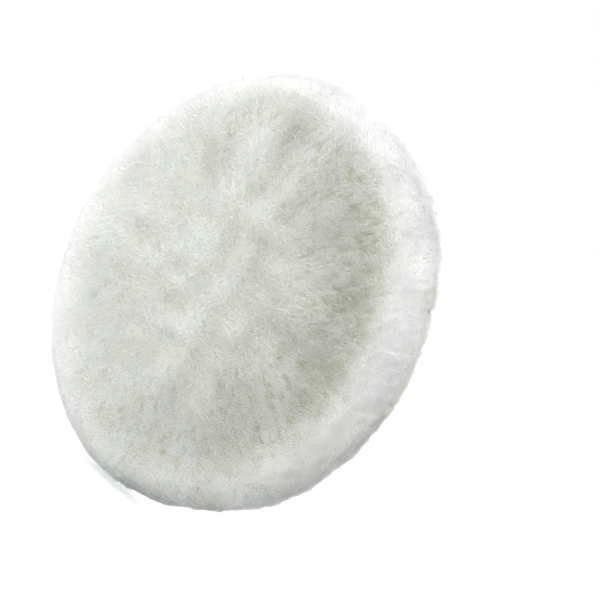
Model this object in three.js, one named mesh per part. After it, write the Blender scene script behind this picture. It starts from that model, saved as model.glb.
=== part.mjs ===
// A lambswool polishing pad with a hook-and-loop backing: round layers bonded into one flexible stack.
// Millimetres, +Z up. The pad stands on its edge. The origin is the centre of the loop face, which
// grips the machine's backing plate and looks along +Y, and the wool face that polishes looks along -Y.
import * as THREE from "three";

// Driving dimensions
const PAD_DIAMETER = 180; // over the widest part of the wool
const PAD_THICKNESS = 29; // loop face to wool face
const LOOP_DIAMETER = 134; // the black loop disc
const INTERFACE_DIAMETER = 145; // the cream disc, whose rim shows round the loops
const HIDE_DIAMETER = 155; // the sheepskin, whose flesh side shows round the cream disc

// Thickness of each layer, from the loop face towards the wool
const LOOP_PILE = 1.6;
const GROUND_CLOTH = 0.6;
const HOT_MELT = 0.2;
const INTERFACE = 2.4;
const CEMENT = 0.2;
const HIDE = 2.0;

// Depth of each layer's back face, measured from the loop face towards the wool
const GROUND_CLOTH_AT = LOOP_PILE;
const HOT_MELT_AT = GROUND_CLOTH_AT + GROUND_CLOTH;
const INTERFACE_AT = HOT_MELT_AT + HOT_MELT;
const CEMENT_AT = INTERFACE_AT + INTERFACE;
const HIDE_AT = CEMENT_AT + CEMENT;
const WOOL_AT = HIDE_AT + HIDE;

// The rings pressed into the loop pile
const RING_PITCH = 7.5;
const RING_COUNT = 7;
const RING_WIDTH = 1.6;
const RING_DEPTH = 0.5;
const OUTER_BAND = 11; // plain loops between the last ring and the disc's edge

// The adhesive films stop a little short of the layers that they join
const GLUE_MARGIN = 0.8;

// The wool stands out past the cut edge of the hide and curls back round it
const WOOL_CLEARANCE = 0.4; // between the curled wool and the hide's edge
const CURL_AT = 3.2; // depth at which the curl starts, nearest the loop face
const CURL_OUT = 4.5; // from the hide's edge to that point
const WIDEST_AT = 15; // depth of the widest part
const SHOULDER = 12; // how far in from the widest part the flat wool face starts
const EDGE_STEPS = 8; // points along each rounded stretch of the wool

const SEGMENTS = 72; // round the axis

const COLOURS = {
  wool: { color: 0xdedfd6, roughness: 1.0, metalness: 0.0 },
  hide: { color: 0xcdbf9f, roughness: 0.85, metalness: 0.0 },
  cement: { color: 0xc9a35c, roughness: 0.6, metalness: 0.0 },
  interface: { color: 0xe6ddcf, roughness: 0.9, metalness: 0.0 },
  hotMelt: { color: 0xd8d4c8, roughness: 0.5, metalness: 0.0 },
  loop: { color: 0x070708, roughness: 0.95, metalness: 0.0 },
};

// A closed solid of revolution about Y from its half section, a list of [radius, depth].
// A lathe turns heights up +Y, and half a turn about X makes them depths, towards -Y.
function turned(section) {
  const points = section.map(([radius, depth]) => new THREE.Vector2(radius, depth));
  return new THREE.LatheGeometry(points, SEGMENTS).rotateX(Math.PI);
}

// A flat round layer whose rims are bevelled.
function layer(diameter, back, thickness, bevel) {
  const radius = diameter / 2;
  const front = back + thickness;
  return turned([
    [0, back],
    [radius - bevel, back],
    [radius, back + bevel],
    [radius, front - bevel],
    [radius - bevel, front],
    [0, front],
  ]);
}

function named(name, geometry, look) {
  const mesh = new THREE.Mesh(geometry, new THREE.MeshStandardMaterial(look));
  mesh.name = name;
  return mesh;
}

// The loops that the hooks catch, with shallow rings pressed into them round the centre.
function loopPile() {
  const radius = LOOP_DIAMETER / 2;
  const outermost = radius - OUTER_BAND;
  const section = [[0, 0]];
  for (let ring = RING_COUNT - 1; ring >= 0; ring -= 1) {
    const middle = outermost - ring * RING_PITCH;
    section.push([middle - RING_WIDTH / 2, 0]);
    section.push([middle, RING_DEPTH]);
    section.push([middle + RING_WIDTH / 2, 0]);
  }
  const rim = LOOP_PILE / 2;
  section.push([radius - rim, 0]);
  section.push([radius, rim]);
  section.push([radius, LOOP_PILE]);
  section.push([0, LOOP_PILE]);
  return named("loop_pile", turned(section), COLOURS.loop);
}

// The knitted cloth that the loops stand on.
function loopGroundCloth() {
  const geometry = layer(LOOP_DIAMETER, GROUND_CLOTH_AT, GROUND_CLOTH, 0.1);
  return named("loop_ground_cloth", geometry, COLOURS.loop);
}

// The melted film that joins the loop cloth to the cream disc.
function loopHotMelt() {
  const geometry = layer(LOOP_DIAMETER - 2 * GLUE_MARGIN, HOT_MELT_AT, HOT_MELT, 0.05);
  return named("loop_hot_melt", geometry, COLOURS.hotMelt);
}

// The cream disc that stiffens the pad and spreads the plate's load.
function interfaceDisc() {
  const geometry = layer(INTERFACE_DIAMETER, INTERFACE_AT, INTERFACE, 0.6);
  return named("interface_disc", geometry, COLOURS.interface);
}

// The contact cement between the cream disc and the flesh side of the hide.
function hideCement() {
  const geometry = layer(INTERFACE_DIAMETER - 2 * GLUE_MARGIN, CEMENT_AT, CEMENT, 0.05);
  return named("hide_cement", geometry, COLOURS.cement);
}

// The tanned sheepskin, flesh side to the back. The wool grows out of its other side.
function sheepskinHide() {
  return named("sheepskin_hide", layer(HIDE_DIAMETER, HIDE_AT, HIDE, 0.3), COLOURS.hide);
}

// Points along a quarter ellipse between two places, leaving the first along the radius
// when flatFirst is set, or along the axis when it isn't. The first place itself is left out.
function rounded(from, to, flatFirst) {
  const points = [];
  for (let step = 1; step <= EDGE_STEPS; step += 1) {
    const angle = (step / EDGE_STEPS) * (Math.PI / 2);
    const along = flatFirst ? Math.sin(angle) : 1 - Math.cos(angle);
    const up = flatFirst ? 1 - Math.cos(angle) : Math.sin(angle);
    points.push([from[0] + (to[0] - from[0]) * along, from[1] + (to[1] - from[1]) * up]);
  }
  return points;
}

// The outer shape of the wool: a flat sheared face, a soft shoulder, a round rim, and the curl
// that comes back past the hide and in against its edge.
function woolPile() {
  const widest = PAD_DIAMETER / 2;
  const inner = HIDE_DIAMETER / 2 + WOOL_CLEARANCE;
  const curl = [inner + CURL_OUT, CURL_AT];
  const lip = [inner, CURL_AT + CURL_OUT / 2];
  const rim = [widest, WIDEST_AT];
  const shoulder = [widest - SHOULDER, PAD_THICKNESS];
  const section = [
    [0, WOOL_AT],
    [inner, WOOL_AT],
    lip,
    ...rounded(lip, curl, false),
    ...rounded(curl, rim, true),
    ...rounded(rim, shoulder, false),
    [0, PAD_THICKNESS],
  ];
  return named("wool_pile", turned(section), COLOURS.wool);
}

const pad = new THREE.Group();
pad.name = "polishing_pad";
pad.add(
  loopPile(),
  loopGroundCloth(),
  loopHotMelt(),
  interfaceDisc(),
  hideCement(),
  sheepskinHide(),
  woolPile(),
);

export default pad;
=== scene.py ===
"""A lambswool polishing pad: the looks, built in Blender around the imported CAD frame.

The pad stands on its edge. Its spin axis is Y: the loop face is at y = 0 and looks along +Y, and
the sheared wool face looks along -Y. "Depth" means distance from the loop face towards the wool.
"""
import math

import bpy
import numpy as np
from mathutils import Matrix, Vector


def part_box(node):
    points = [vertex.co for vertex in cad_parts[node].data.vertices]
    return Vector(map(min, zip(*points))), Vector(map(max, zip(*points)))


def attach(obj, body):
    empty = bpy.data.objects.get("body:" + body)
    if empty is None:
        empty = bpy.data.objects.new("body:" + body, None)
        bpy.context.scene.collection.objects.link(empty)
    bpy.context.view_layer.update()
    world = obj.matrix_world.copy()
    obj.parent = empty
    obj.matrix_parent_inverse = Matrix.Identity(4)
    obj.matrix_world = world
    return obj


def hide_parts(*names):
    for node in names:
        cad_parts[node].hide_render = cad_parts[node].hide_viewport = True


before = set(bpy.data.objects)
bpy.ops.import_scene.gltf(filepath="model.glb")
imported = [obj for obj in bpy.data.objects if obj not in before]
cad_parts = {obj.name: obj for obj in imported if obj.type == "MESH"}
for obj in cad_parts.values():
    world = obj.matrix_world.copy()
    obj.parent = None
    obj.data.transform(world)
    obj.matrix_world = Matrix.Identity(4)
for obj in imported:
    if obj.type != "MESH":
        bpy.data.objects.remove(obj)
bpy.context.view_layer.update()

MM = 0.001
TINY = 1e-12  # keeps a division clear of 0
SEED = 52
BODY = "root"


# ---- sizes, from the frame

def layer(node):
    """A round layer's radius, and the depths of its back and front faces, in metres."""
    low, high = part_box(node)
    return (high[0] - low[0]) / 2, -high[1], -low[1]


WOOL_R, CURL_AT, FACE_AT = layer("wool_pile")
HIDE_R, HIDE_BACK, HIDE_FRONT = layer("sheepskin_hide")
DISC_R, DISC_BACK, DISC_FRONT = layer("interface_disc")
CLOTH_R, CLOTH_BACK, CLOTH_FRONT = layer("loop_ground_cloth")
LOOP_R, _, LOOP_FRONT = layer("loop_pile")

SHOULDER = 12 * MM  # how far in from the rim the flat face starts
WIDEST_AT = 15 * MM  # depth of the widest part
CURL_OUT = 4.5 * MM  # from the hide's edge to where the wool comes furthest back
WOOL_GAP = 0.4 * MM  # between the hide's edge and the wool that curls round it
AXIS_R = 0.4 * MM  # the small flat in the middle of a turned piece
PAD_CENTRE = Vector((0, -FACE_AT / 2, 0))


# ---- camera

VIEW_ELEVATION = math.radians(6)
OFF_AXIS = math.radians(40.1)  # between the wool face's normal and the line of sight
ROLL = math.radians(32.4)
CAMERA_DISTANCE = 0.9
CAMERA_LENS = 137.7
AIM = (24.4 * MM, -3.7 * MM)  # the pad stands a little left of the picture's middle


def make_camera():
    """Adds the camera. Returns the directions that it sees as right, up and towards itself."""
    azimuth = math.acos(math.cos(OFF_AXIS) / math.cos(VIEW_ELEVATION))
    back = Vector((math.sin(azimuth) * math.cos(VIEW_ELEVATION),
                   -math.cos(azimuth) * math.cos(VIEW_ELEVATION),
                   math.sin(VIEW_ELEVATION)))
    level = Vector((math.cos(azimuth), math.sin(azimuth), 0))
    right = Matrix.Rotation(ROLL, 3, back) @ level
    up = back.cross(right)
    place = PAD_CENTRE + back * CAMERA_DISTANCE
    back = (place - PAD_CENTRE - right * AIM[0] - up * AIM[1]).normalized()
    right = up.cross(back).normalized()
    up = back.cross(right)
    camera = bpy.data.objects.new("camera", bpy.data.cameras.new("camera"))
    camera.data.lens = CAMERA_LENS
    camera.data.clip_start = 0.01
    camera.matrix_world = Matrix((
        (right.x, up.x, back.x, place.x),
        (right.y, up.y, back.y, place.y),
        (right.z, up.z, back.z, place.z),
        (0, 0, 0, 1)))
    bpy.context.scene.collection.objects.link(camera)
    bpy.context.scene.camera = camera
    return right, up, back


SEEN_RIGHT, SEEN_UP, SEEN_BACK = make_camera()


# ---- materials

def new_material(name, roughness, gloss):
    """A material with only an output and a Principled shader. Returns it, its tree and the shader."""
    material = bpy.data.materials.new(name)
    material.use_nodes = True
    tree = material.node_tree
    tree.nodes.clear()
    output = tree.nodes.new("ShaderNodeOutputMaterial")
    shader = tree.nodes.new("ShaderNodeBsdfPrincipled")
    shader.inputs["Roughness"].default_value = roughness
    shader.inputs["Specular IOR Level"].default_value = gloss
    tree.links.new(shader.outputs[0], output.inputs["Surface"])
    return material, tree, shader


def ramp(tree, value, stops):
    """A colour ramp over value, through stops of (position, (r, g, b))."""
    node = tree.nodes.new("ShaderNodeValToRGB")
    elements = node.color_ramp.elements
    while len(elements) < len(stops):
        elements.new(0.5)
    for element, (position, colour) in zip(elements, stops):
        element.position = position
        element.color = (*colour, 1)
    tree.links.new(value, node.inputs["Fac"])
    return node.outputs["Color"]


def noise(tree, scale, detail=3.0):
    """Noise in the object's own coordinates."""
    node = tree.nodes.new("ShaderNodeTexNoise")
    node.inputs["Scale"].default_value = scale
    node.inputs["Detail"].default_value = detail
    node.inputs["Roughness"].default_value = 0.6
    place = tree.nodes.new("ShaderNodeTexCoord")
    tree.links.new(place.outputs["Object"], node.inputs["Vector"])
    return node.outputs["Fac"]


def mixed(tree, mode, factor, first, second):
    """Two colours mixed by a blend mode. Each value is a socket, a number or a colour."""
    node = tree.nodes.new("ShaderNodeMix")
    node.data_type = "RGBA"
    node.blend_type = mode
    for socket, value in ((node.inputs["Factor"], factor), (node.inputs["A"], first),
                          (node.inputs["B"], second)):
        if isinstance(value, bpy.types.NodeSocket):
            tree.links.new(value, socket)
        elif isinstance(value, (int, float)):
            socket.default_value = value
        else:
            socket.default_value = (*value, 1)
    return node.outputs["Result"]


def attribute(tree, name):
    """A value that the mesh holds at each vertex."""
    node = tree.nodes.new("ShaderNodeAttribute")
    node.attribute_name = name
    return node.outputs["Fac"]


def bumped(tree, shader, height, strength, distance):
    """Bumps a shader's surface by a height of 0 to 1, which stands for distance in metres."""
    node = tree.nodes.new("ShaderNodeBump")
    node.inputs["Strength"].default_value = strength
    node.inputs["Distance"].default_value = distance
    tree.links.new(height, node.inputs["Height"])
    tree.links.new(node.outputs["Normal"], shader.inputs["Normal"])


STRAND_UV = "OFBake"  # a strand's map: its tint across, and from root to tip upwards


def strand_material(name, tints, root_shade, gloss=0.2, through=0.5):
    """Fibres coloured by their map: tints across it, and darker towards the root, which is partly
    painted shade of the depth.

    through is the share of light that passes through the fibre and out of its far side.
    """
    material, tree, shader = new_material(name, 0.9, gloss)
    place = tree.nodes.new("ShaderNodeUVMap")
    place.uv_map = STRAND_UV
    parts = tree.nodes.new("ShaderNodeSeparateXYZ")
    tree.links.new(place.outputs["UV"], parts.inputs[0])
    tint = ramp(tree, parts.outputs["X"], tints)
    shade = ramp(tree, parts.outputs["Y"], root_shade)
    colour = mixed(tree, "MULTIPLY", 1.0, tint, shade)
    tree.links.new(colour, shader.inputs["Base Color"])
    if not through:
        return material
    passing = tree.nodes.new("ShaderNodeBsdfTranslucent")
    tree.links.new(colour, passing.inputs["Color"])
    both = tree.nodes.new("ShaderNodeMixShader")
    both.inputs["Fac"].default_value = through
    tree.links.new(shader.outputs[0], both.inputs[1])
    tree.links.new(passing.outputs[0], both.inputs[2])
    tree.links.new(both.outputs[0], tree.nodes["Material Output"].inputs["Surface"])
    return material


# the second ramp darkens a fibre with its depth: its yellower root, and painted shade deeper in the pile
WOOL = strand_material(
    "lambswool",
    [(0.0, (0.862, 0.852, 0.770)), (0.35, (0.930, 0.947, 0.932)), (0.7, (0.955, 0.968, 0.962)),
     (1.0, (0.985, 0.974, 0.978))],
    [(0.0, (0.62, 0.59, 0.45)), (0.35, (0.84, 0.825, 0.73)), (0.6, (0.96, 0.965, 0.945)),
     (0.8, (1.0, 1.0, 1.0))])


OPEN = "openness"  # on the underfur: how far its locks stand apart


def underfur_material():
    """Khaki where the locks stand open, white elsewhere, both mottled; the khaki is the wool's yellower
    base, with painted shade of the depth.
    """
    material, tree, shader = new_material("underfur", 1.0, 0.1)
    mottle = noise(tree, 420, 4.0)
    khaki = ramp(tree, mottle, [(0.3, (0.76, 0.725, 0.59)), (0.7, (0.88, 0.868, 0.79))])
    white = ramp(tree, mottle, [(0.3, (0.92, 0.908, 0.907)), (0.7, (0.955, 0.947, 0.95))])
    colour = mixed(tree, "MIX", attribute(tree, OPEN), white, khaki)
    tree.links.new(colour, shader.inputs["Base Color"])
    bumped(tree, shader, noise(tree, 1600), 0.6, 0.4 * MM)
    return material


UNDERFUR = underfur_material()


# ---- making meshes

def make_object(name, vertices, faces, material, smooth=True):
    """faces is a list of index arrays, each (count, corners)."""
    mesh = bpy.data.meshes.new(name)
    mesh.vertices.add(len(vertices))
    mesh.vertices.foreach_set("co", np.asarray(vertices, np.float32).ravel())
    corners = np.concatenate([f.ravel() for f in faces]).astype(np.int32)
    counts = np.concatenate([np.full(len(f), f.shape[1]) for f in faces])
    starts = np.concatenate([[0], np.cumsum(counts)[:-1]]).astype(np.int32)
    mesh.loops.add(len(corners))
    mesh.loops.foreach_set("vertex_index", corners)
    mesh.polygons.add(len(starts))
    mesh.polygons.foreach_set("loop_start", starts)
    mesh.update(calc_edges=True)
    mesh.polygons.foreach_set("use_smooth", np.full(len(starts), smooth))
    mesh.materials.append(material)
    made = bpy.data.objects.new(name, mesh)
    bpy.context.scene.collection.objects.link(made)
    return made, corners


def finish_piece(piece, slot, node):
    """Puts a piece on the pad's body, in place of its CAD node, which it hides. slot is not used."""
    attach(piece, BODY)
    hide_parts(node)


def all_round(count):
    """Evenly spaced angles round a full turn."""
    return np.arange(count) * 2 * math.pi / count


def ring_faces(rings, around):
    """Quads between neighbouring rings of vertices, each closed on itself."""
    ring = np.arange(rings - 1)[:, None] * around
    step = np.arange(around)[None, :]
    after = (step + 1) % around
    return np.stack([ring + step, ring + after, ring + around + after, ring + around + step],
                    -1).reshape(-1, 4)


def to_world(across, upward, depth):
    """Places in the pad's plane, and depths, as world coordinates."""
    return np.stack([across, -depth, upward], -1)


# ---- the wool's outer shape

FACE_POINTS = 60  # along the flat part of the section
QUARTER_POINTS = 40  # along each quarter ellipse, both ends included


def quarter(start, end, flat_first):
    """Points on a quarter ellipse, leaving start along the radius, or along the axis."""
    angle = np.linspace(0, math.pi / 2, QUARTER_POINTS)[1:, None]
    along = np.sin(angle) if flat_first else 1 - np.cos(angle)
    up = 1 - np.cos(angle) if flat_first else np.sin(angle)
    start, end = np.array(start), np.array(end)
    return start + (end - start) * np.hstack([along, up])


def wool_section():
    """The half section of the wool, as (radius, depth), from the middle of the face to the lip."""
    lip = (HIDE_R + WOOL_GAP, CURL_AT + CURL_OUT / 2)
    curl = (HIDE_R + WOOL_GAP + CURL_OUT, CURL_AT)
    face = np.stack([np.linspace(0, WOOL_R - SHOULDER, FACE_POINTS), np.full(FACE_POINTS, FACE_AT)], 1)
    return np.vstack([face,
                      quarter(face[-1], (WOOL_R, WIDEST_AT), True),
                      quarter((WOOL_R, WIDEST_AT), curl, False),
                      quarter(curl, lip, True)])


SECTION = wool_section()
STEPS = np.diff(SECTION, axis=0)
RUN = np.concatenate([[0], np.cumsum(np.hypot(STEPS[:, 0], STEPS[:, 1]))])  # length along it
TANGENTS = np.gradient(SECTION, RUN, axis=0)
TANGENTS /= np.linalg.norm(TANGENTS, axis=1)[:, None]
LIP_RUN = RUN[-1]
EDGE_RUN = WOOL_R - SHOULDER  # where the flat face ends
RIM_RUN = RUN[np.argmax(SECTION[:, 0])]  # where it is widest


def at_run(run, *knots):
    """A value that changes along the section, from (run, value) knots."""
    places, values = zip(*knots)
    return np.interp(run, places, values)


WAVES = 24  # sine waves in one smooth random field


def field(places, wavelength, seed):
    """A smooth random value at each (x, y, z) of places, of about unit size."""
    random = np.random.default_rng(seed)
    direction = random.normal(0, 1, (WAVES, 3))
    direction /= np.linalg.norm(direction, axis=1)[:, None]
    length = wavelength * random.uniform(0.7, 1.4, (WAVES, 1))
    phase = random.uniform(0, 2 * math.pi, WAVES)
    return np.sin(places @ (2 * math.pi / length * direction).T + phase).sum(-1) * math.sqrt(2 / WAVES)


COMBED_FROM = 38 * MM  # outside this, locks are drawn out along the radius
COMBED_SQUEEZE = 0.40  # how far a field is squeezed along the radius there
RIM_SQUEEZE = 0.36  # and over the rim
COMBED_TOWARDS = 0.1  # where on the rim, as an angle from +X, the face is combed most


def combed(flat):
    """Places to read a field at, squeezed where the wool lies combed outwards and over the rim."""
    run = np.linalg.norm(flat, axis=-1)
    inner = np.minimum(run, COMBED_FROM)
    band = np.clip(run - COMBED_FROM, 0, EDGE_RUN - COMBED_FROM)
    reach = (inner + COMBED_SQUEEZE * band) / np.maximum(run, TINY)
    over = RIM_SQUEEZE * np.maximum(run - EDGE_RUN, 0)
    return np.concatenate([flat * reach[..., None], over[..., None]], -1)


UNEVEN_FROM = 0.6  # the share of the wool's radius inside which its outline is a true circle


def outline(angle):
    """How far the hand-trimmed rim stands off a true circle, as a share of its radius."""
    return (0.010 * np.sin(2 * angle + 0.6) + 0.007 * np.sin(3 * angle + 2.1)
            + 0.005 * np.sin(5 * angle + 4.0) + 0.003 * np.sin(8 * angle + 1.0))


def on_skin(flat, depth):
    """World places from a flat map of the wool's surface, and how far below the surface they are.

    The map keeps directions round the axis, and distance along the section from its middle.
    """
    run = np.linalg.norm(flat, axis=-1)
    angle = np.arctan2(flat[..., 1], flat[..., 0])
    radius = np.interp(run, RUN, SECTION[:, 0])
    back = np.interp(run, RUN, SECTION[:, 1])
    tangent_r = np.interp(run, RUN, TANGENTS[:, 0])
    tangent_d = np.interp(run, RUN, TANGENTS[:, 1])
    radius = radius + tangent_d * depth
    back = back - tangent_r * depth
    edge = np.clip((radius - UNEVEN_FROM * WOOL_R) / ((1 - UNEVEN_FROM) * WOOL_R), 0, 1.1)
    round_rim = np.stack([WOOL_R * np.cos(angle), WOOL_R * np.sin(angle), 0.8 * run], -1)
    tufts_mm = 0.15 * field(round_rim, 5 * MM, SEED + 6) + 0.28 * field(round_rim, 16 * MM, SEED + 7)
    radius = radius * (1 + outline(angle) * edge ** 2) + tufts_mm * MM * edge ** 4
    return to_world(radius * np.cos(angle), radius * np.sin(angle), back)


# ---- underfur

def combed_side(flat):
    """1 on the side where the face is combed outwards, 0 on the far side."""
    angle = np.arctan2(flat[..., 1], flat[..., 0])
    return np.clip(0.55 + 0.6 * np.cos(angle - COMBED_TOWARDS), 0, 1)


def underfur_depth(flat):
    """How far below the tips the dense wool starts: deepest where the face is combed outwards."""
    run = np.linalg.norm(flat, axis=-1)
    depth = at_run(run, (0, 1.9 * MM), (EDGE_RUN + 5 * MM, 1.9 * MM), (RIM_RUN, 2.2 * MM),
                   (LIP_RUN - 4 * MM, 2.2 * MM), (LIP_RUN, 0.2 * MM))
    extra = at_run(run, (0, 0), (40 * MM, 0.1 * MM), (0.88 * EDGE_RUN, 0.4 * MM),
                   (EDGE_RUN + 5 * MM, 0.1 * MM), (RIM_RUN, 0))
    return depth + extra * combed_side(flat)


def openness(flat):
    """How far the locks stand apart: some over the whole wool, and more where it is combed outwards."""
    run = np.linalg.norm(flat, axis=-1)
    always = at_run(run, (0, 0.45), (0.5 * EDGE_RUN, 0.45), (0.86 * EDGE_RUN, 0.4),
                    (EDGE_RUN + 4 * MM, 0.42), (RIM_RUN, 0.55), (RIM_RUN + 6 * MM, 0.6))
    extra = at_run(run, (0, 0), (0.5 * EDGE_RUN, 0.1), (0.86 * EDGE_RUN, 0.38),
                   (EDGE_RUN + 4 * MM, 0.08), (RIM_RUN, 0))
    return always + extra * combed_side(flat)


RIM_BAND = 13 * MM  # the length of section over which the rim takes over from the face
PAINTED_SHADE_TOWARDS = -1.0  # where on the rim, as an angle from +X, the wool is least white: painted shade on its underside


def into_rim(run, start):
    """Rises from 0 at start to 1 a rim's band past it."""
    return np.clip((run - start) / RIM_BAND, 0, 1)


def whitened(flat):
    """How much whiter than the face the wool gets as it turns over the rim, less so on the underside,
    where shade is painted in.
    """
    run = np.linalg.norm(flat, axis=-1)
    angle = np.arctan2(flat[..., 1], flat[..., 0])
    # painted shade: the rim's underside, towards the floor, is left less white
    painted_underside_shade = 0.7 * np.clip(np.cos(angle - PAINTED_SHADE_TOWARDS), 0, 1) ** 2
    before_edge = (7.0 - 5.0 * combed_side(flat)) * MM  # later where the face is combed outwards
    return into_rim(run, EDGE_RUN - before_edge) * (1 - painted_underside_shade)


def behind(flat):
    """1 on the back of the rim, which nobody shears, and 0 in front of its widest part."""
    return np.clip((np.linalg.norm(flat, axis=-1) - RIM_RUN + 2 * MM) / (8 * MM), 0, 1)


PARTINGS = (((-52, -34), (-42, -18)), ((-18, -18), (-12, -6)), ((-12, -6), (-3, 7)))  # ends, in mm
PARTING_WIDTH = 1.3 * MM
PARTING_DEPTH = 1.6  # on the scale of lock_height


def parted(flat):
    """How far the wool is pressed apart along a few short partings on the face."""
    total = np.zeros(flat.shape[:-1])
    for ends in PARTINGS:
        start, end = np.array(ends) * MM
        line = end - start
        share = np.clip((flat - start) @ line / (line @ line), 0, 1)
        away = np.linalg.norm(flat - start - share[..., None] * line, axis=-1)
        total = np.maximum(total, PARTING_DEPTH * np.exp(-(away / PARTING_WIDTH) ** 2))
    return total


LOCK = 2.8 * MM  # across a usual lock
FINE_LOCK = 1.8 * MM  # across the finer ones, which only the sheared face has
BROAD_LOCK = 6.0 * MM  # across the broad swells, which are strongest behind the rim


def lock_height(flat):
    """Where the wool gathers into soft locks (high) and where it opens between them (low)."""
    places = combed(flat)
    back = behind(flat)
    return ((0.60 + 0.50 * back) * field(places, LOCK, SEED + 1)
            + 0.5 * (1 - back) * field(places, FINE_LOCK, SEED + 3)
            + (0.12 + 0.26 * back) * field(places, BROAD_LOCK, SEED + 2) - parted(flat))


LUMP_HEIGHT = 0.22 * MM  # of the underfur, where its locks stand fully apart
LEAST_COVER = 0.1 * MM  # from the underfur to the wool's outer shape
CALM_LIP = 5 * MM  # before the lip, where the lumps die out


def make_underfur():
    """The dense inner wool, a closed lumpy body just under the fibre tips."""
    around, rows = 600, 150
    run = np.linspace(AXIS_R, LIP_RUN, rows)
    angle = all_round(around)
    flat = np.stack([run[:, None] * np.cos(angle), run[:, None] * np.sin(angle)], -1)
    opened = openness(flat)
    before_lip = np.clip((LIP_RUN - run) / CALM_LIP, 0, 1)[:, None]
    lumps = LUMP_HEIGHT * opened * lock_height(flat)
    deep = underfur_depth(flat) - lumps * before_lip
    outer = on_skin(flat, np.maximum(deep, LEAST_COVER))
    # the inside follows the hide: its cut edge, then its wool side, to the middle
    wall = HIDE_R + WOOL_GAP * 0.5
    corner = to_world(wall * np.cos(angle), wall * np.sin(angle), np.full(around, HIDE_FRONT))
    inner = to_world(AXIS_R * np.cos(angle), AXIS_R * np.sin(angle), np.full(around, HIDE_FRONT))
    vertices = np.concatenate([outer.reshape(-1, 3), corner, inner])
    sides = ring_faces(rows + 2, around)
    first = np.arange(around)[None, ::-1]
    last = np.arange(around)[None, :] + (rows + 1) * around
    piece, _ = make_object("wool_underfur", vertices, [sides, first, last], UNDERFUR)
    spread = piece.data.attributes.new(OPEN, "FLOAT", "POINT")
    opened = opened * (1 - 0.8 * np.clip(whitened(flat) - behind(flat), 0, 1))
    spread.data.foreach_set("value", np.append(opened.ravel(), np.full(2 * around, 0.3)))
    finish_piece(piece, "wool", "wool_pile")


# ---- fibres

GOLDEN_ANGLE = math.pi * (3 - math.sqrt(5))
JITTER = 0.28  # of a root's place, as a share of the spacing


def scattered(density, run_from, run_to, random):
    """Places on the flat map between two runs. density(run) is the count per square metre."""
    fine = np.linspace(run_from, run_to, 4000)
    radius = np.interp(fine, RUN, SECTION[:, 0])
    rate = 2 * math.pi * radius * density(fine)
    sown = np.concatenate([[0], np.cumsum(np.diff(fine) * (rate[1:] + rate[:-1]) / 2)])
    count = int(sown[-1])
    run = np.interp((np.arange(count) + 0.5) / count * sown[-1], sown, fine)
    angle = np.arange(count) * GOLDEN_ANGLE
    flat = np.stack([run * np.cos(angle), run * np.sin(angle)], 1)
    spacing = 1 / np.sqrt(density(run))
    return flat + random.normal(0, JITTER, flat.shape) * spacing[:, None]


SIDE_TINTS = (0, 0.012, 0.024)  # added to a fibre's tint on its three sides


def tubes(name, paths, radii, tint, shade, material):
    """Closed three-sided tapering fibres. paths is (fibres, points, 3); the last point is a tip."""
    fibres, points, _ = paths.shape
    tangent = np.gradient(paths, axis=1)
    tangent /= np.linalg.norm(tangent, axis=-1)[..., None] + TINY
    guide = np.stack([tangent[:, 0, 1], tangent[:, 0, 2], -tangent[:, 0, 0]], -1)[:, None, :]
    side = np.cross(tangent, guide)
    side /= np.linalg.norm(side, axis=-1)[..., None] + TINY
    other = np.cross(tangent, side)
    rings = points - 1
    turn = all_round(3)
    spread = (np.cos(turn)[:, None] * side[:, :rings, None, :]
              + np.sin(turn)[:, None] * other[:, :rings, None, :])
    ring = paths[:, :rings, None, :] + spread * radii[:, :rings, None, None]
    vertices = np.concatenate([ring.reshape(fibres, rings * 3, 3), paths[:, -1:]], 1)
    own = rings * 3 + 1
    start = (np.arange(fibres) * own)[:, None, None]
    quads = ring_faces(rings, 3)[None] + start
    last = (rings - 1) * 3
    tip = np.array([[last, last + 1, own - 1], [last + 1, last + 2, own - 1],
                    [last + 2, last, own - 1]])[None] + start
    base = np.array([[2, 1, 0]])[None] + start
    piece, corners = make_object(name, vertices.reshape(-1, 3),
                                 [quads.reshape(-1, 4), tip.reshape(-1, 3), base.reshape(-1, 3)],
                                 material)
    across = np.repeat(tint[:, None], own, 1)
    across[:, :-1] += np.tile(SIDE_TINTS, rings)
    along = np.concatenate([np.repeat(shade[:, :rings], 3, 1), shade[:, rings:]], 1)
    card = np.stack([np.clip(across, 0.005, 0.995), 0.01 + 0.98 * along], -1).reshape(-1, 2)
    layer_uv = piece.data.uv_layers.new(name=STRAND_UV)
    layer_uv.data.foreach_set("uv", card[corners].astype(np.float32).ravel())
    return piece


def lean(flat):
    """How far a fibre's tip lies outwards of its root: outwards over the outer face, and on the rim
    forwards, towards the face."""
    run = np.linalg.norm(flat, axis=-1)
    always = at_run(run, (0, 0), (30 * MM, 0.1 * MM), (0.85 * EDGE_RUN, 0.3 * MM), (EDGE_RUN, 0.2 * MM),
                    (EDGE_RUN + 8 * MM, -0.6 * MM), (RIM_RUN, -2.2 * MM), (RIM_RUN + 8 * MM, -2.6 * MM),
                    (LIP_RUN, -1.0 * MM))
    extra = at_run(run, (0, 0), (30 * MM, 0.3 * MM), (0.85 * EDGE_RUN, 0.9 * MM), (EDGE_RUN, 0.7 * MM),
                   (EDGE_RUN + 8 * MM, 0.2 * MM), (RIM_RUN, 0))
    return always + extra * combed_side(flat)


def on_rim(run):
    """The share of the rim's longer, coarser fibres, which take over from the face's at its edge."""
    return np.clip((run - EDGE_RUN + 12 * MM) / (16 * MM), 0, 1)


FEWEST = 0.1  # fibres per square millimetre, anywhere


def face_sowing(run):
    """The face's fibres per square metre of the wool's surface."""
    return np.maximum(10.5 * (1 - on_rim(run)), FEWEST) / MM ** 2


def rim_sowing(run):
    """The rim's fibres per square metre of the wool's surface."""
    full = at_run(run, (0, 6.0), (EDGE_RUN + 8 * MM, 5.8), (LIP_RUN, 5.0))
    return np.maximum(full * on_rim(run), FEWEST) / MM ** 2


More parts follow.
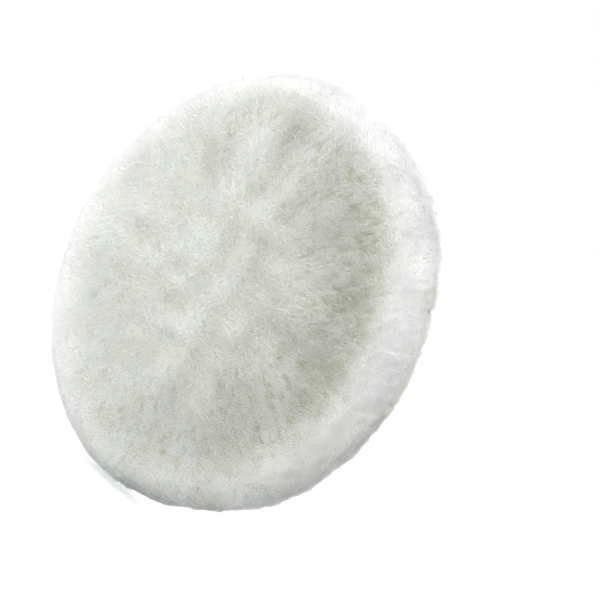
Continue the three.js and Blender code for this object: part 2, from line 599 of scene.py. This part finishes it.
LOCK_PULL = 0.09 * MM ** 2  # how strongly the tips are drawn together
DRIFT = 14 * MM  # across the broad fields that turn and stain the wool
CRIMP_PATCH = 3.5 * MM  # across a patch whose fibres crimp in step
TIP_COVER = 0.25  # a tip's usual depth below the wool's outer shape, in mm
LIP_COVER = 0.2 * MM  # from the last fibre to the end of the section
BASE_TINT = 0.66  # a fibre's usual place on the wool's colour ramp
LAST_TINT = 0.97
SHADE_DEPTH = 4.0 * MM  # the depth at which a fibre has its full root colour: the wool's yellower base, and painted shade of the depth


def drawn_together(tips, height):
    """How far each tip is moved, uphill on lock_height, towards the middle of its lock."""
    step = 0.1 * MM
    slope = np.stack([lock_height(tips + (step, 0)) - height,
                      lock_height(tips + (0, step)) - height], 1) / step
    return slope * LOCK_PULL


def tinted(tips, height, seed, random):
    """Places on the wool's colour ramp: low between the locks (the wool's khaki there, with painted
    shade between the locks) and where stained, high on the rim.
    """
    places = combed(tips)
    back = behind(tips)
    opened = openness(tips)
    stained = np.clip(opened - 0.4, 0, 1) * np.clip(0.3 + field(places, DRIFT, seed + 5), 0, 2)
    # fibres between the locks sit lower on the ramp: the wool's khaki there, and painted shade between
    # the locks
    tint = (BASE_TINT + random.normal(0, 0.05 + 0.10 * back, len(tips))
            + 0.04 * field(places, 5 * MM, seed + 4)
            - 0.4 * stained - (0.55 + 0.45 * back) * opened * np.clip(-height, 0, 1.6))
    tint += 0.3 * np.maximum(whitened(tips), back)
    return np.clip(tint, 0, LAST_TINT)


def grow(sowing, run_from, run_to, share, points, thickness, seed):
    """Paths, radii, tints and shades of the fibres, share of the full number of them.

    Smooth fields draw neighbouring tips together into soft locks.
    """
    random = np.random.default_rng(seed)
    tips = scattered(lambda run: share * sowing(run), run_from, run_to, random)
    total = len(tips)
    run = np.linalg.norm(tips, axis=1)
    outward = tips / run[:, None]
    sideways = np.stack([-outward[:, 1], outward[:, 0]], 1)
    stretch = np.clip(run / np.maximum(np.interp(run, RUN, SECTION[:, 0]), MM), 1, 1.6)
    rim = into_rim(run, EDGE_RUN - 2 * MM)
    back = behind(tips)
    height = lock_height(tips)

    # where the tip lies from its root, on the flat map
    gather = drawn_together(tips, height)
    drift = np.stack([field(combed(tips), DRIFT, seed + 1), field(combed(tips), DRIFT, seed + 2)], 1)
    curl = random.normal(0, 1, (total, 2)) * at_run(run, (0, 0.20), (EDGE_RUN, 0.25))[:, None]
    moved = (0.35 * drift + curl) * MM + gather
    moved_out = ((moved * outward).sum(1) + lean(tips))[:, None]
    moved_aside = (moved * sideways).sum(1)[:, None]
    gather_out = (gather * outward).sum(1)[:, None]
    gather_aside = (gather * sideways).sum(1)[:, None]
    crimp_size = random.uniform(0.05, 0.16, total) * MM * (1 + 1.2 * rim)
    crimp_turns = random.uniform(0.6, 1.2, total) * (1 + rim)
    crimp_phase = 2.0 * field(combed(tips), CRIMP_PATCH, seed + 3) + random.normal(0, 0.8, total)

    # the path from root to tip
    t = np.linspace(0, 1, points)[None, :]
    wave = 2 * math.pi * crimp_turns[:, None] * t + crimp_phase[:, None]
    ease = t ** 1.5
    along = moved_out * (ease - 1) + gather_out + crimp_size[:, None] * np.cos(wave) * t
    across = moved_aside * (ease - 1) + gather_aside + crimp_size[:, None] * np.sin(wave) * t
    root = underfur_depth(tips) + random.uniform(0.2, 0.9, total) * MM
    dip = (0.46 + 0.68 * back) * openness(tips) * np.clip(-height, -0.5, 2.4)
    tip = (TIP_COVER + dip + random.normal(0, 0.06 + 0.05 * rim + 0.12 * back, total)) * MM
    deep = root[:, None] * (1 - t ** 0.85) + tip[:, None] * t
    flat = (tips[:, None, :] + outward[:, None, :] * along[..., None]
            + (sideways * stretch[:, None])[:, None, :] * across[..., None])
    reach = np.linalg.norm(flat, axis=-1)
    flat = flat * np.minimum(1, (LIP_RUN - LIP_COVER) / np.maximum(reach, TINY))[..., None]

    radii = thickness * random.uniform(0.75, 1.25, total)[:, None] * (1.0 - 0.5 * t)
    tint = tinted(tips, height, seed, random)
    # darker and khaki with depth below the tips: the wool's yellower roots, and painted shade of the
    # depth
    whiter = 0.72 * np.clip(whitened(tips) - back, 0, 1)
    shade = 1 - np.clip(deep / SHADE_DEPTH, 0, 1) * (1 - whiter[:, None])
    return on_skin(flat, deep), radii, tint, shade


STRAY_RADIUS = 0.034 * MM


def strays(count, points, seed):
    """Fine single hairs that stand off the rim and curl over."""
    random = np.random.default_rng(seed)
    run = random.uniform(EDGE_RUN - 4 * MM, LIP_RUN - 2 * MM, count)
    angle = random.uniform(0, 2 * math.pi, count)
    outward = np.stack([np.cos(angle), np.sin(angle)], 1)
    sideways = np.stack([-outward[:, 1], outward[:, 0]], 1)
    reach = random.gamma(2.2, 0.55, count) * MM
    turn = random.uniform(0.3, 1.1, count)[:, None] * 2 * math.pi
    phase = random.uniform(0, 2 * math.pi, count)[:, None]
    width = random.uniform(0.3, 1.1, count)[:, None] * MM
    t = np.linspace(0, 1, points)[None, :]
    rise = np.sin(t * random.uniform(1.4, 2.6, count)[:, None])
    deep = 1.2 * MM * (1 - t) ** 2 - reach[:, None] * rise
    fall = random.normal(0, 1.2, count)[:, None] * MM
    along = fall * t + width * (np.cos(turn * t + phase) - np.cos(phase))
    fall = random.normal(0, 1.2, count)[:, None] * MM
    across = fall * t + width * (np.sin(turn * t + phase) - np.sin(phase))
    flat = (outward * run[:, None])[:, None] + outward[:, None] * along[..., None]
    flat = flat + sideways[:, None] * across[..., None]
    radii = STRAY_RADIUS * random.uniform(0.8, 1.3, count)[:, None] * (1 - 0.4 * t)
    tint = random.uniform(0.75, LAST_TINT, count)
    return on_skin(flat, deep), radii, tint, np.ones((count, points))


MOST_TRIANGLES = 190_000  # in one piece, so that each piece's own mesh file keeps every face


def make_fibres(name, paths, radii, tint, shade, material, slot="wool", node="wool_pile"):
    """Fibres as one or more pieces, none with too many triangles."""
    points = paths.shape[1]
    each = (points - 2) * 6 + 4
    pieces = math.ceil(len(paths) * each / MOST_TRIANGLES)
    for index, chunk in enumerate(np.array_split(np.arange(len(paths)), pieces)):
        piece = tubes(f"{name}_{index + 1:02d}", paths[chunk], radii[chunk], tint[chunk],
                      shade[chunk], material)
        finish_piece(piece, slot, node)


FACE_RADIUS = 0.068 * MM  # of a fibre at its root
RIM_RADIUS = 0.080 * MM
STRAY_COUNT = 4200


def make_wool():
    """The face's short fibres, the rim's longer and coarser ones, and the stray hairs."""
    share = 1.0
    thicker = share ** -0.4
    face = grow(face_sowing, 0.3 * MM, EDGE_RUN + 4 * MM, share, 3, FACE_RADIUS * thicker, SEED + 11)
    make_fibres("wool_face", *face, WOOL)
    rim = grow(rim_sowing, EDGE_RUN - 12 * MM, LIP_RUN - MM, share, 4, RIM_RADIUS * thicker, SEED + 12)
    make_fibres("wool_rim", *rim, WOOL)
    make_fibres("wool_strays", *strays(int(STRAY_COUNT * share), 9, SEED + 13), WOOL)


# ---- the backing's materials

def mottled(name, scale, colours, bump_scale, bump_height, roughness=0.85, gloss=0.25):
    """A dull material whose colour wanders between a few, with a fine bump."""
    material, tree, shader = new_material(name, roughness, gloss)
    stops = [(0.30 + 0.40 * k / (len(colours) - 1), colour) for k, colour in enumerate(colours)]
    tree.links.new(ramp(tree, noise(tree, scale, 5.0), stops), shader.inputs["Base Color"])
    bumped(tree, shader, noise(tree, bump_scale, 4.0), 0.8, bump_height)
    return material


RADIAL = "radial"  # on the hide: 0 at the interface disc, 1 at the cut edge
SCORCH_FROM = 1.08  # on the scale of RADIAL with its noise added
SCORCH_FULL = 1.32
SCORCH_WANDER = 0.55  # how far the noise moves the scorch's edge


def suede_material():
    """The hide's flesh side: tan suede, scorched orange and brown along the cut edge."""
    material, tree, shader = new_material("suede", 0.95, 0.15)
    tan = ramp(tree, noise(tree, 260, 5.0),
               [(0.30, (0.36, 0.30, 0.19)), (0.52, (0.50, 0.43, 0.29)), (0.72, (0.62, 0.55, 0.40))])
    burnt = ramp(
        tree, noise(tree, 700),
        [(0.35, (0.16, 0.065, 0.018)), (0.55, (0.42, 0.21, 0.07)), (0.75, (0.66, 0.42, 0.20))])
    wander = tree.nodes.new("ShaderNodeMath")
    wander.operation = "MULTIPLY_ADD"
    tree.links.new(noise(tree, 170, 4.0), wander.inputs[0])
    wander.inputs[1].default_value = SCORCH_WANDER
    tree.links.new(attribute(tree, RADIAL), wander.inputs[2])
    near_edge = ramp(tree, wander.outputs[0], [(0.0, (0, 0, 0)), (0.5, (0, 0, 0)), (1.0, (1, 1, 1))])
    scorch = tree.nodes.new("ShaderNodeMapRange")
    tree.links.new(wander.outputs[0], scorch.inputs["Value"])
    scorch.inputs["From Min"].default_value = SCORCH_FROM
    scorch.inputs["From Max"].default_value = SCORCH_FULL
    warmth = mixed(tree, "MIX", near_edge, (1, 1, 1), (1.0, 0.82, 0.62))
    warm = mixed(tree, "MULTIPLY", 0.5, tan, warmth)
    colour = mixed(tree, "MIX", scorch.outputs["Result"], warm, burnt)
    tree.links.new(colour, shader.inputs["Base Color"])
    shader.inputs["Sheen Weight"].default_value = 0.2
    bumped(tree, shader, noise(tree, 2600, 4.0), 0.7, 0.25 * MM)
    return material


SUEDE = suede_material()
CREAM_FELT = mottled(
    "cream_felt", 420, [(0.64, 0.575, 0.475), (0.71, 0.65, 0.55), (0.77, 0.715, 0.62)],
    2400, 0.22 * MM)
BLACK_KNIT = mottled(
    "black_knit", 900, [(0.0015, 0.0015, 0.0015), (0.004, 0.004, 0.0045)],
    3000, 0.2 * MM, roughness=1.0, gloss=0.03)
SCORCHED = mottled(
    "scorched_edge", 900, [(0.06, 0.022, 0.008), (0.22, 0.095, 0.03), (0.50, 0.27, 0.11)],
    2500, 0.15 * MM, roughness=0.6)
HOT_MELT = mottled(
    "hot_melt", 300, [(0.55, 0.52, 0.45), (0.68, 0.66, 0.60)],
    900, 0.05 * MM, roughness=0.35)
CEMENT = mottled(
    "contact_cement", 240, [(0.45, 0.30, 0.12), (0.60, 0.44, 0.22)],
    700, 0.06 * MM, roughness=0.4)
# the second ramp is painted shade: each loop is darker at its feet, on the mat
LOOPS = strand_material(
    "black_loops",
    [(0.0, (0.0012, 0.0012, 0.0012)), (0.5, (0.003, 0.003, 0.0035)), (1.0, (0.016, 0.016, 0.018))],
    [(0.0, (0.4, 0.4, 0.4)), (0.6, (1.0, 1.0, 1.0))], gloss=0.06, through=0)
SCORCHED_WOOL = strand_material(
    "scorched_wool",
    [(0.0, (0.84, 0.80, 0.70)), (0.5, (0.95, 0.94, 0.92)), (1.0, (0.98, 0.975, 0.975))],
    [(0.0, (0.42, 0.20, 0.06)), (0.25, (0.82, 0.52, 0.26)), (0.6, (0.97, 0.86, 0.72)), (0.9, (1, 1, 1))])


def finish_hidden_layers():
    """The two bonding layers keep their CAD shape."""
    for node, material in (("loop_hot_melt", HOT_MELT), ("hide_cement", CEMENT)):
        layer_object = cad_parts[node]
        layer_object.data.materials.clear()
        layer_object.data.materials.append(material)


# ---- the backing's shapes

BEVEL_POINTS = 5
BACK_EDGE_ROW = 1 + 2 * BEVEL_POINTS  # of a disc's section: the last row of its back edge


def turned(name, radius, depth, material):
    """A closed body round the spin axis. radius and depth are (rows, around), and the rows run from
    the middle of the front, out round the rim, to the middle of the back."""
    rows, around = radius.shape
    angle = all_round(around)
    vertices = to_world(radius * np.cos(angle), radius * np.sin(angle), depth)
    first = np.arange(around)[None, ::-1]
    last = np.arange(around)[None, :] + (rows - 1) * around
    faces = [ring_faces(rows, around), first, last]
    piece, _ = make_object(name, vertices.reshape(-1, 3), faces, material)
    return piece


def disc_section(radius, back, front, bevel, rows, inner):
    """A disc's half section with rounded edges, fine over its back from the rim in to inner."""
    turn = np.linspace(0, math.pi / 2, BEVEL_POINTS)
    out = np.concatenate([[AXIS_R, inner], radius - bevel * (1 - np.sin(turn)),
                          radius - bevel * (1 - np.cos(turn)),
                          np.linspace(radius - bevel, inner, rows)[1:], [AXIS_R]])
    deep = np.concatenate([[front, front], front - bevel * (1 - np.cos(turn)),
                           back + bevel * (1 - np.sin(turn)), np.full(rows, back)])
    return out[:, None], deep[:, None]


def around_places(radius, around):
    """The angles round a piece, and the places (x, y, 0) on its rings, to read fields at."""
    angle = all_round(around)
    level = np.zeros((len(radius), around))
    flat = np.stack([radius * np.cos(angle), radius * np.sin(angle), level], -1)
    return angle, flat


def scorching(angle):
    """How badly the burnt-through cut edge is scorched at each angle round it, from 0 to 1."""
    edge = np.stack([np.cos(angle), np.sin(angle), 0 * angle], -1) * HIDE_R
    return np.clip(0.55 + 0.55 * field(edge, 42 * MM, SEED + 84), 0, 1)


HIDE_FINE_FROM = DISC_R - 6.5 * MM  # the back of the hide has fine rows outside this
HIDE_WORN_FROM = DISC_R - 2.5 * MM  # its cut edge wanders, more and more, outside this
HIDE_ROUGH_FROM = DISC_R + 0.5 * MM  # its flesh side is lumpy outside this
CUT_AWAY = 0.8 * MM  # how far inside the full radius the ragged edge may come


def make_hide():
    """The sheepskin: its wool side is inside the pad, and its flesh side shows as a tan ring.

    Returns the radius of its cut edge, all round.
    """
    around = 1080
    radius, depth = disc_section(HIDE_R, HIDE_BACK, HIDE_FRONT, 0.35 * MM, 26, HIDE_FINE_FROM)
    _, flat = around_places(np.full((1, 1), HIDE_R), around)
    ragged_mm = 0.30 * field(flat, 7 * MM, SEED + 21) + 0.22 * field(flat, 2.0 * MM, SEED + 22)
    near_edge = np.clip((radius - HIDE_WORN_FROM) / (HIDE_R - HIDE_WORN_FROM), 0, 1)
    radius = radius + (np.clip(ragged_mm, -0.8, 0.8) - 0.75) * MM * near_edge ** 2
    angle, flat = around_places(radius, around)
    on_back = depth < HIDE_BACK + 0.5 * MM
    lumps_mm = 0.10 * field(flat, 2.2 * MM, SEED + 23) + 0.07 * field(flat, 0.9 * MM, SEED + 24)
    curl_mm = 0.35 * near_edge ** 3 * (0.6 + 0.4 * field(flat, 16 * MM, SEED + 25))
    depth = depth + np.where(on_back & (radius > HIDE_ROUGH_FROM), (lumps_mm - curl_mm) * MM, 0)
    piece = turned("hide", radius, np.broadcast_to(depth, radius.shape), SUEDE)
    place = piece.data.attributes.new(RADIAL, "FLOAT", "POINT")
    share = np.where(on_back, np.clip((radius - DISC_R) / (HIDE_R - CUT_AWAY - DISC_R), 0, 1.0), 1.0)
    place.data.foreach_set("value", (share * (0.72 + 0.28 * scorching(angle))).ravel())
    finish_piece(piece, "hide", "sheepskin_hide")
    return radius[BACK_EDGE_ROW]


BEAD_SIDES = 7
LEAST_SCORCH = 0.25  # beads show only where the edge is scorched more than this


def scorched_beads(edge):
    """The rings of vertices of short lengths of melted, browned hide along the cut edge."""
    random = np.random.default_rng(SEED + 31)
    at = 0.0
    while at < 2 * math.pi - 0.1:
        at += random.gamma(1.3, 0.05)
        burnt = scorching(np.array([at]))[0]
        span = min(0.03 + random.gamma(1.6, 0.07), 2 * math.pi - 0.02 - at)
        if span < 0.02:
            break
        steps = max(8, int(span * HIDE_R / (0.28 * MM)))
        angle = at + span * np.linspace(0, 1, steps)
        reach = np.interp(angle % (2 * math.pi), all_round(len(edge)), edge)
        reach = reach - 0.05 * MM + 0.14 * MM * random.normal(0, 1, steps)
        deep = HIDE_BACK - 0.18 * MM + 0.10 * MM * random.normal(0, 1, steps)
        swell = np.sin(math.pi * np.linspace(0.04, 0.96, steps)) ** 0.5
        thick = MM * swell * random.uniform(0.08, 0.34, steps) * (0.4 + 0.6 * burnt)
        turn = all_round(BEAD_SIDES)
        ring_r = reach[:, None] + thick[:, None] * np.cos(turn) * 1.3
        ring_d = deep[:, None] - thick[:, None] * np.sin(turn)
        at += span
        if burnt > LEAST_SCORCH:
            yield to_world(ring_r * np.cos(angle)[:, None], ring_r * np.sin(angle)[:, None], ring_d)


def make_scorched_edge(edge):
    """All the scorched beads as one piece."""
    vertices = []
    faces = []
    caps = []
    start = 0
    for place in scorched_beads(edge):
        steps, sides, _ = place.shape
        vertices.append(place.reshape(-1, 3))
        faces.append(ring_faces(steps, sides) + start)
        caps.append(np.arange(sides)[::-1] + start)
        caps.append(np.arange(sides) + (steps - 1) * sides + start)
        start += steps * sides
    piece, _ = make_object("scorched_edge", np.concatenate(vertices),
                           [np.concatenate(faces), np.array(caps)], SCORCHED)
    finish_piece(piece, "hide", "sheepskin_hide")


def make_interface_disc():
    """The felted cream disc between the hide and the loop fabric."""
    around = 900
    radius, depth = disc_section(DISC_R, DISC_BACK, DISC_FRONT, 0.55 * MM, 22, DISC_R - 10.5 * MM)
    _, flat = around_places(radius + np.zeros((1, around)), around)
    near_rim = np.clip((radius - DISC_R + 6.5 * MM) / (6 * MM), 0, 1)
    uneven_mm = 0.14 * field(flat, 9 * MM, SEED + 41) + 0.05 * field(flat, 1.6 * MM, SEED + 42)
    radius = radius + near_rim * uneven_mm * MM
    lumps = (0.06 * field(flat, 2.6 * MM, SEED + 43) + 0.05 * field(flat, 1.1 * MM, SEED + 44)) * MM
    shown = (depth < DISC_BACK + 1.2 * MM) & (radius > CLOTH_R + 0.2 * MM)
    piece = turned("interface_felt", radius, depth + np.where(shown, lumps, 0), CREAM_FELT)
    finish_piece(piece, "interface", "interface_disc")


FRAY_BAND = 3 * MM  # the cloth's cut edge wanders within this


def make_ground_cloth():
    """The knitted cloth that the loops stand on, slightly frayed round its cut edge."""
    around = 720
    radius, depth = disc_section(CLOTH_R, CLOTH_BACK, CLOTH_FRONT, 0.15 * MM, 6, CLOTH_R - FRAY_BAND)
    _, flat = around_places(radius + np.zeros((1, around)), around)
    near_rim = np.clip((radius - CLOTH_R + FRAY_BAND) / FRAY_BAND, 0, 1)
    frayed_mm = 0.06 * field(flat, 5 * MM, SEED + 51) + 0.05 * field(flat, 1.1 * MM, SEED + 52)
    radius = radius + near_rim * frayed_mm * MM
    piece = turned("loop_cloth", radius, np.broadcast_to(depth, radius.shape), BLACK_KNIT)
    finish_piece(piece, "ground_cloth", "loop_ground_cloth")


RING_PITCH = 7.5 * MM
RING_WIDTH = 1.6 * MM
RING_DEPTH = 0.5 * MM
RING_COUNT = 7
OUTER_BAND = 11 * MM  # plain pile outside the outermost pressed ring


def pressed(radius):
    """How deep the pile is pressed in at a radius: narrow rings, concentric with the pad."""
    rings = LOOP_R - OUTER_BAND - RING_PITCH * np.arange(RING_COUNT)
    near = np.exp(-((radius[..., None] - rings) / (0.5 * RING_WIDTH)) ** 2)
    return RING_DEPTH * near.sum(-1)


def make_loop_mat():
    """The close bottom of the loop pile."""
    around, rows = 420, 190
    radius = np.linspace(LOOP_R - 0.5 * MM, AXIS_R, rows)[:, None] + np.zeros((1, around))
    _, flat = around_places(radius, around)
    lumps = 0.14 * MM * field(flat, 1.5 * MM, SEED + 61)
    top = 0.8 * MM + 0.5 * pressed(radius) + np.clip(lumps, -0.2 * MM, 0.25 * MM)
    top[0] = 1.2 * MM
    floor_depth = LOOP_FRONT + 0 * top[:1]
    radius = np.concatenate([radius[-1:], radius[:1], radius])
    depth = np.concatenate([floor_depth, floor_depth, top])
    piece = turned("loop_mat", radius, depth, BLACK_KNIT)
    finish_piece(piece, "loops", "loop_pile")


LOOP_COUNT = 9800


def make_loops():
    """Fine arched loops standing on the mat, lower along the pressed rings."""
    count = LOOP_COUNT
    points = 6
    random = np.random.default_rng(SEED + 71)
    place = np.arange(count) + 0.5
    radius = (LOOP_R - 0.45 * MM) * np.sqrt(place / count) + random.normal(0, 0.2, count) * MM
    radius = np.clip(radius, 0.3 * MM, LOOP_R - 0.35 * MM)
    angle = place * GOLDEN_ANGLE
    centre = np.stack([radius * np.cos(angle), radius * np.sin(angle)], 1)
    facing = random.uniform(0, math.pi, count)
    across = np.stack([np.cos(facing), np.sin(facing)], 1)
    fall = random.normal(0, 0.35, (count, 2)) * MM
    half = random.uniform(0.40, 0.75, count)[:, None] * MM
    top = 0.08 * MM + pressed(radius) + np.abs(random.normal(0, 0.12, count)) * MM
    bottom = np.minimum(top + 1.0 * MM, LOOP_FRONT - 0.05 * MM)
    t = np.linspace(0, 1, points)[None, :]
    arch = np.sin(math.pi * t) ** 0.7
    flat = (centre[:, None, :] + across[:, None, :] * (half * -np.cos(math.pi * t))[..., None]
            + fall[:, None, :] * arch[..., None])
    deep = bottom[:, None] + (top - bottom)[:, None] * arch
    paths = to_world(flat[..., 0], flat[..., 1], deep)
    radii = 0.12 * MM * random.uniform(0.8, 1.3, count)[:, None] * np.ones_like(t)
    # loops on the pressed rings are lighter: a painted highlight
    tint = np.clip(0.8 * random.beta(2, 3, count) + 0.5 * pressed(radius) / RING_DEPTH, 0.02, 0.97)
    # the shade runs with the arch: painted shade at the loops' feet
    make_fibres("loops", paths, radii, tint, np.broadcast_to(arch, (count, points)), LOOPS,
                "loops", "loop_pile")


LIP_COUNT = 7600
LIP_ROOT_DEPTH = 6.2 * MM  # inside the thickness of the hide
LIP_CRIMP = 0.22 * MM
LIP_RADIUS = 0.075 * MM  # of a fibre at its root


def make_lip():
    """Wool that rises round the hide's cut edge and curls over it, singed orange in places."""
    share = 1.0
    count = int(LIP_COUNT * share)
    points = 6
    random = np.random.default_rng(SEED + 81)
    angle = random.uniform(0, 2 * math.pi, count)
    ring = np.stack([HIDE_R * np.cos(angle), HIDE_R * np.sin(angle), 0 * angle], -1)
    root = HIDE_R + random.uniform(-0.25, 1.0, count) * MM
    bias = 0.5 * field(ring, 8 * MM, SEED + 82)
    out = (1.0 + bias + random.normal(0, 0.8, count)) * MM
    rise = random.uniform(0.8, 2.6, count) * MM
    swing = (random.normal(0, 0.9, count) + 0.9 * field(ring, 5 * MM, SEED + 83)) * MM / HIDE_R
    t = np.linspace(0, 1, points)[None, :]
    wave = 2 * math.pi * random.uniform(0.4, 1.0, count)[:, None] * t
    wave = wave + random.uniform(0, 6.28, count)[:, None]
    radius = root[:, None] + out[:, None] * t ** 1.4 + LIP_CRIMP * np.cos(wave) * t
    around = angle[:, None] + swing[:, None] * t + LIP_CRIMP / HIDE_R * np.sin(wave) * t
    deep = LIP_ROOT_DEPTH - (rise + MM)[:, None] * t ** 0.9
    paths = to_world(radius * np.cos(around), radius * np.sin(around), deep)
    radii = LIP_RADIUS * share ** -0.4 * random.uniform(0.75, 1.25, count)[:, None] * (1 - 0.5 * t)
    clean = 0.95 - 0.95 * scorching(angle)[:, None]
    shade = np.clip(clean + (1 - clean) * t * 1.1, 0, 1)
    tint = np.clip(0.6 + random.normal(0, 0.15, count), 0.02, 0.95)
    make_fibres("wool_lip", paths, radii, tint, shade, SCORCHED_WOOL)


make_underfur()
make_wool()
make_lip()
make_scorched_edge(make_hide())
make_interface_disc()
make_ground_cloth()
make_loop_mat()
make_loops()
finish_hidden_layers()


# ---- floor and light

FLOOR_SIZE = 30.0
FLOOR_HEIGHT = -WOOL_R * 1.01  # just under the wool's rim


def by_ray(tree, lighting, looks):
    """One value for the rays that light the scene, and another for those that the camera sees."""
    path = tree.nodes.new("ShaderNodeLightPath")
    choice = tree.nodes.new("ShaderNodeMapRange")
    choice.inputs["To Min"].default_value = lighting
    choice.inputs["To Max"].default_value = looks
    tree.links.new(path.outputs["Is Camera Ray"], choice.inputs["Value"])
    return choice.outputs["Result"]


def make_floor():
    """A pale floor that melts into the white background."""
    corners = np.array([[-1, -1, 0], [1, -1, 0], [1, 1, 0], [-1, 1, 0]]) * FLOOR_SIZE / 2
    corners[:, 2] = FLOOR_HEIGHT
    material, tree, shader = new_material("pale_floor", 0.9, 0.5)
    colour = ramp(tree, noise(tree, 3.0), [(0.4, (0.58, 0.585, 0.60)), (0.6, (0.60, 0.605, 0.62))])
    tree.links.new(colour, shader.inputs["Base Color"])
    shader.inputs["Emission Color"].default_value = (0.96, 0.98, 1.0, 1)
    tree.links.new(by_ray(tree, 0.04, 0.56), shader.inputs["Emission Strength"])
    floor, _ = make_object("floor", corners, [np.array([[0, 1, 2, 3]])], material, smooth=False)


def seen(right, up, back):
    """A direction given as it looks from the camera."""
    return (SEEN_RIGHT * right + SEEN_UP * up + SEEN_BACK * back).normalized()


def new_light(lamp, direction):
    """Adds a lamp that shines from a direction."""
    light = bpy.data.objects.new(lamp.name, lamp)
    light.rotation_euler = (-direction).to_track_quat("-Z", "Y").to_euler()
    bpy.context.scene.collection.objects.link(light)
    return light


def area_light(name, direction, distance, size, power):
    """A round soft box, its size and distance in metres."""
    lamp = bpy.data.lights.new(name, "AREA")
    lamp.shape = "DISK"
    lamp.size = size
    lamp.energy = power
    light = new_light(lamp, direction)
    light.location = PAD_CENTRE + direction * distance


def sun_light(name, direction, strength, angle):
    """A broad soft light from far away."""
    lamp = bpy.data.lights.new(name, "SUN")
    lamp.energy = strength
    lamp.angle = angle
    new_light(lamp, direction)


def make_world():
    """A white studio, a little dimmer as a light than it looks."""
    world = bpy.data.worlds.new("studio")
    bpy.context.scene.world = world
    world.use_nodes = True
    tree = world.node_tree
    tree.nodes.clear()
    output = tree.nodes.new("ShaderNodeOutputWorld")
    background = tree.nodes.new("ShaderNodeBackground")
    tree.links.new(background.outputs[0], output.inputs["Surface"])
    tree.links.new(by_ray(tree, 0.68, 1.0), background.inputs["Strength"])
    background.inputs["Color"].default_value = (1, 1, 1, 1)


make_floor()
make_world()
sun_light("sky", seen(-0.65, 0.6, 0.5), strength=0.90, angle=math.radians(140))
area_light("left_box", seen(-0.85, 0.55, 0.15), distance=0.6, size=0.9, power=6.8)
area_light("rim_box", seen(0.95, 0.1, -0.5), distance=0.8, size=0.6, power=4.5)
area_light("right_box", seen(0.8, 0.45, 0.3), distance=0.8, size=0.8, power=6.2)
area_light("back_box", Vector((-0.1, 0.8, 0.6)).normalized(), distance=0.9, size=0.8, power=1.6)
bpy.context.scene.cycles.diffuse_bounces = 12
bpy.context.scene.cycles.max_bounces = 16
bpy.context.scene.view_settings.view_transform = "Standard"
bpy.context.scene.view_settings.look = "None"
